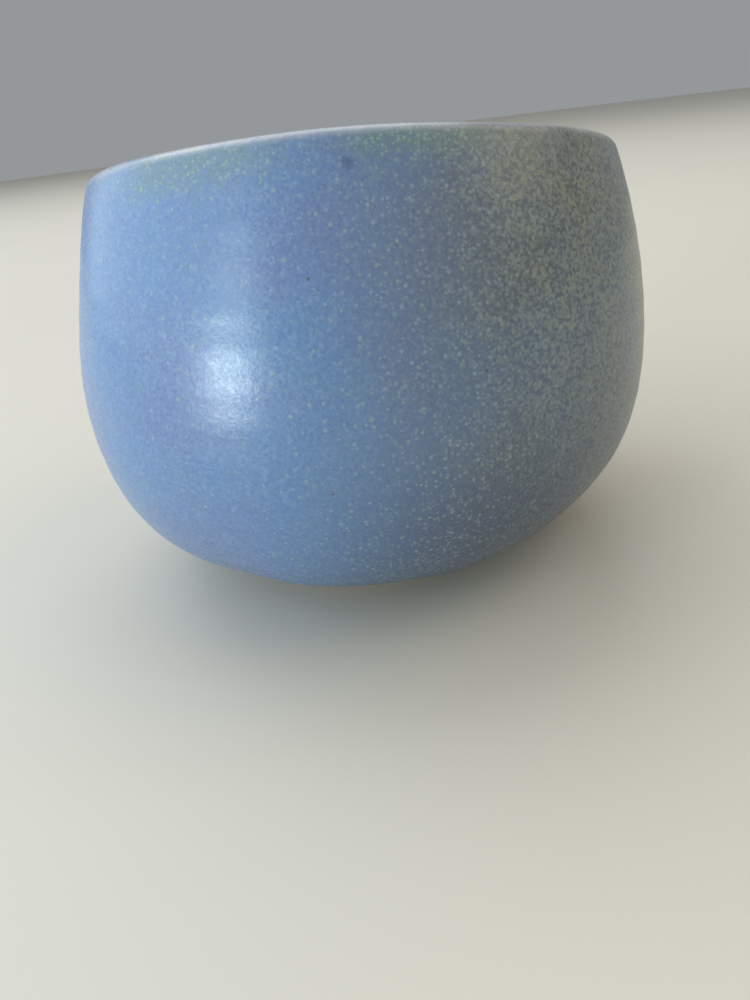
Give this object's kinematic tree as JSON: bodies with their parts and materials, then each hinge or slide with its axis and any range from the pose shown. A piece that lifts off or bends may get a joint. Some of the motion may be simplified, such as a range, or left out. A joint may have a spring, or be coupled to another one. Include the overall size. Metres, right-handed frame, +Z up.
{
  "type": "yarn bowl",
  "caption": "Round-bellied stoneware bowl that holds a ball of yarn, with a mouth tilted to the back and a hooked slot in its low side that guides the yarn.",
  "frame": {"origin": "on the table, under the middle of the foot ring", "axes": "+Z up; +Y towards the low side of the mouth, where the yarn slot is; +X to the side that the slot's hook turns to"},
  "size_m": [0.1462, 0.1474, 0.1076],
  "materials": {
    "bare_stoneware": "unglazed, fine-grained",
    "foot_clay": "unglazed, trimmed smooth",
    "satin_blue_glaze": "satin, speckled",
    "liner_glaze": "satin, speckled"
  },
  "bodies": {
    "root": {"stoneware_pot": "bare_stoneware", "foot_ring": "foot_clay", "outside_glaze": "satin_blue_glaze", "inside_glaze": "liner_glaze"}
  },
  "joints": []
}
